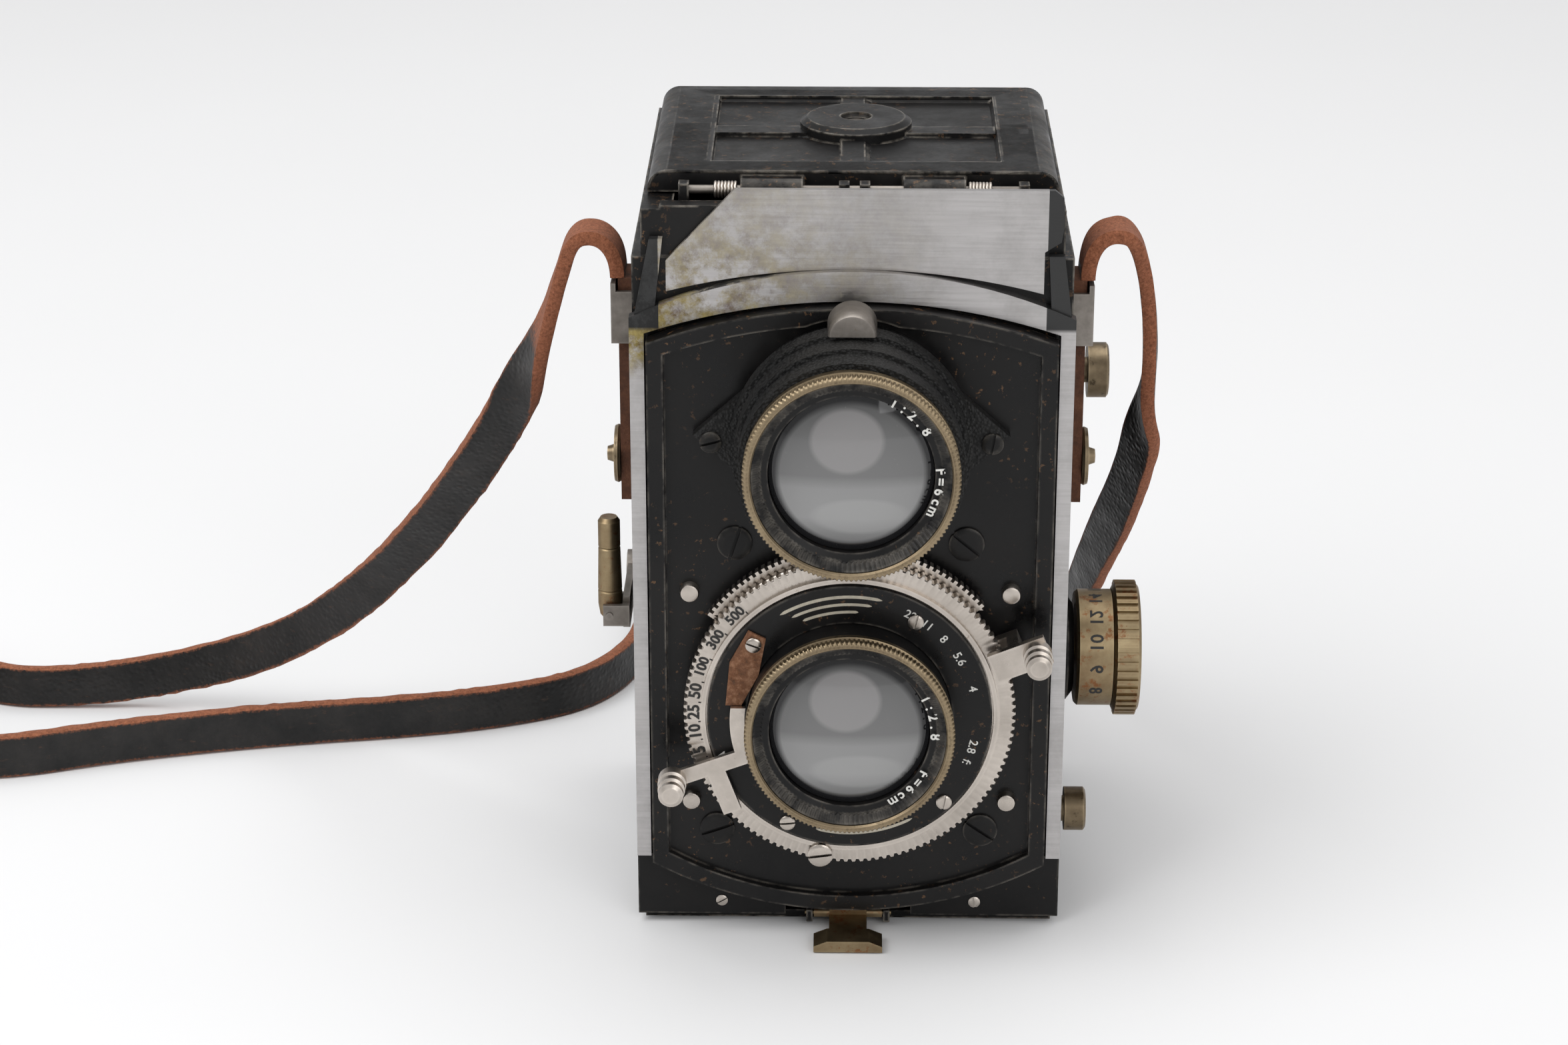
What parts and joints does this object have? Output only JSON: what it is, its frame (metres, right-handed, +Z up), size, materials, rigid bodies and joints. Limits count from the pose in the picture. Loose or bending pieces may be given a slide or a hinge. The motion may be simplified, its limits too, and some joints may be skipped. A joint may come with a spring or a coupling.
{
  "type": "twin lens reflex camera",
  "caption": "Twin lens reflex camera with focusing front panel, rim-set shutter, folding hood, film crank, hinged back and leather neck strap.",
  "frame": {"origin": "centre of the mouth of the tripod socket in the middle of the base", "axes": "+Z up along the two lenses, lenses look along -Y, +X to the right of a person who faces the lenses"},
  "size_m": [0.2724, 0.1591, 0.1116],
  "materials": {
    "shell": "satin black",
    "border": "brushed",
    "enamel": "worn gloss enamel",
    "nickel": "nickel plate",
    "brass": "patinated",
    "blackmetal": "satin black",
    "glass": "coated",
    "groundglass": "ground",
    "mirror": "silvered",
    "leather": "grained",
    "straphide": "black grain",
    "rust": "rusted"
  },
  "bodies": {
    "camera_body": {"body_shell": "shell", "front_frame": "border", "name_plate": "border", "chamber_front": "blackmetal", "ground_glass": "groundglass", "mirror": "mirror", "hood_base": "shell", "lid_springs": "nickel", "hinge_rods": "nickel", "focus_collar": "blackmetal", "crank_dome": "nickel", "film_pivots": "nickel", "tripod_bush": "nickel", "side_leather": "leather", "strap_clips": "nickel", "strap_ends": "straphide", "strap_studs": "nickel", "strap_run_left": "straphide", "strap_run_right": "straphide", "strap_coil": "straphide"},
    "front_standard": {"lens_panel": "enamel", "viewing_barrel": "blackmetal", "peep_window": "blackmetal", "viewing_rim": "brass", "taking_rim": "brass", "name_rings": "blackmetal", "front_glasses": "glass", "rear_glasses": "glass", "shutter_case": "blackmetal", "shutter_face": "blackmetal", "taking_barrel": "blackmetal", "iris_blades": "blackmetal", "shutter_screws": "nickel", "sector_plate": "rust", "panel_posts": "nickel", "panel_screws": "blackmetal"},
    "focus_control": {"focus_drum": "nickel", "focus_knob": "nickel"},
    "speed_ring": {"speed_ring": "nickel"},
    "stop_ring": {"stop_ring": "nickel"},
    "release_lever": {"release_lever": "nickel"},
    "crank": {"crank_arm": "nickel"},
    "crank_grip": {"crank_handle": "brass"},
    "takeup_spool": {"takeup_spool": "blackmetal"},
    "feed_spool": {"feed_spool": "blackmetal"},
    "film_roller_upper": {"film_roller_upper": "nickel"},
    "film_roller_lower": {"film_roller_lower": "nickel"},
    "spool_knob_upper": {"spool_knob_upper": "nickel"},
    "spool_knob_lower": {"spool_knob_lower": "nickel"},
    "hood_lid": {"hood_lid": "blackmetal"},
    "hood_flap_left": {"hood_flap_left": "blackmetal"},
    "hood_flap_right": {"hood_flap_right": "blackmetal"},
    "hood_flap_rear": {"hood_flap_rear": "blackmetal"},
    "magnifier": {"magnifier_frame": "blackmetal", "magnifier_lens": "glass"},
    "back": {"back_wall": "shell", "back_floor": "shell", "pressure_plate": "blackmetal", "back_leather": "leather"},
    "latch": {"latch_tab": "brass"}
  },
  "joints": [
    {"name": "lens_focus", "type": "slide", "parent": "camera_body", "child": "front_standard", "axis": [0, -1, 0], "range_m": [0, 0.005]},
    {"name": "focus_turn", "type": "hinge", "parent": "camera_body", "child": "focus_control", "pos_m": [0, -0.012, 0.0374], "axis": [1, 0, 0], "range_deg": [0, 252.2]},
    {"name": "speed_turn", "type": "hinge", "parent": "front_standard", "child": "speed_ring", "pos_m": [0, -0.028, 0.0366], "axis": [0, 1, 0], "range_deg": [-20, 90]},
    {"name": "stop_turn", "type": "hinge", "parent": "front_standard", "child": "stop_ring", "pos_m": [0, -0.028, 0.0366], "axis": [0, 1, 0], "range_deg": [-8, 60]},
    {"name": "shutter_release", "type": "hinge", "parent": "front_standard", "child": "release_lever", "pos_m": [0, -0.028, 0.0366], "axis": [0, 1, 0], "range_deg": [0, 28], "stiffness_Nm_per_rad": 0.01, "springref_deg": -17.19},
    {"name": "crank_turn", "type": "hinge", "parent": "camera_body", "child": "crank", "pos_m": [0, 0.004, 0.042], "axis": [1, 0, 0], "continuous": true},
    {"name": "crank_fold", "type": "hinge", "parent": "crank", "child": "crank_grip", "pos_m": [-0.0347, -0.01, 0.042], "axis": [0, -1, 0], "range_deg": [0, 90]},
    {"name": "takeup_turn", "type": "hinge", "parent": "camera_body", "child": "takeup_spool", "pos_m": [0, 0.015, 0.0704], "axis": [1, 0, 0], "continuous": true},
    {"name": "feed_turn", "type": "hinge", "parent": "camera_body", "child": "feed_spool", "pos_m": [0, -0.0144, 0.0126], "axis": [1, 0, 0], "continuous": true},
    {"name": "upper_roller_turn", "type": "hinge", "parent": "camera_body", "child": "film_roller_upper", "pos_m": [0, 0.0236, 0.059], "axis": [1, 0, 0], "continuous": true},
    {"name": "lower_roller_turn", "type": "hinge", "parent": "camera_body", "child": "film_roller_lower", "pos_m": [0, 0.0236, 0.0143], "axis": [1, 0, 0], "continuous": true},
    {"name": "upper_knob_pull", "type": "slide", "parent": "camera_body", "child": "spool_knob_upper", "axis": [1, 0, 0], "range_m": [0, 0.0035]},
    {"name": "lower_knob_pull", "type": "slide", "parent": "camera_body", "child": "spool_knob_lower", "axis": [1, 0, 0], "range_m": [0, 0.0035]},
    {"name": "lid_open", "type": "hinge", "parent": "camera_body", "child": "hood_lid", "pos_m": [0, -0.0214, 0.1086], "axis": [1, 0, 0], "range_deg": [0, 95]},
    {"name": "left_flap_open", "type": "hinge", "parent": "camera_body", "child": "hood_flap_left", "pos_m": [-0.0234, 0.002, 0.1066], "axis": [0, -1, 0], "range_deg": [0, 90]},
    {"name": "right_flap_open", "type": "hinge", "parent": "camera_body", "child": "hood_flap_right", "pos_m": [0.0234, 0.002, 0.1066], "axis": [0, 1, 0], "range_deg": [0, 90]},
    {"name": "rear_flap_open", "type": "hinge", "parent": "camera_body", "child": "hood_flap_rear", "pos_m": [0, 0.0217, 0.1066], "axis": [-1, 0, 0], "range_deg": [0, 90]},
    {"name": "magnifier_swing", "type": "hinge", "parent": "hood_lid", "child": "magnifier", "pos_m": [0, -0.0138, 0.10775], "axis": [1, 0, 0], "range_deg": [-95, 0]},
    {"name": "back_open", "type": "hinge", "parent": "camera_body", "child": "back", "pos_m": [0, 0.0286, 0.084], "axis": [1, 0, 0], "range_deg": [0, 135]},
    {"name": "latch_turn", "type": "hinge", "parent": "back", "child": "latch", "pos_m": [0, -0.0271, 0.0019], "axis": [1, 0, 0], "range_deg": [0, 35], "stiffness_Nm_per_rad": 0.01, "springref_deg": -17.19}
  ],
  "couplings": [
    {"joint": "focus_turn", "follows": "lens_focus", "rad_per_m": 880.34},
    {"joint": "takeup_turn", "follows": "crank_turn", "ratio": 1},
    {"joint": "feed_turn", "follows": "crank_turn", "ratio": 0.8},
    {"joint": "upper_roller_turn", "follows": "crank_turn", "ratio": -3},
    {"joint": "lower_roller_turn", "follows": "crank_turn", "ratio": -3},
    {"joint": "left_flap_open", "follows": "lid_open", "ratio": 0.94737},
    {"joint": "right_flap_open", "follows": "lid_open", "ratio": 0.94737},
    {"joint": "rear_flap_open", "follows": "lid_open", "ratio": 0.94737},
    {"joint": "magnifier_swing", "follows": "lid_open", "ratio": -1}
  ]
}
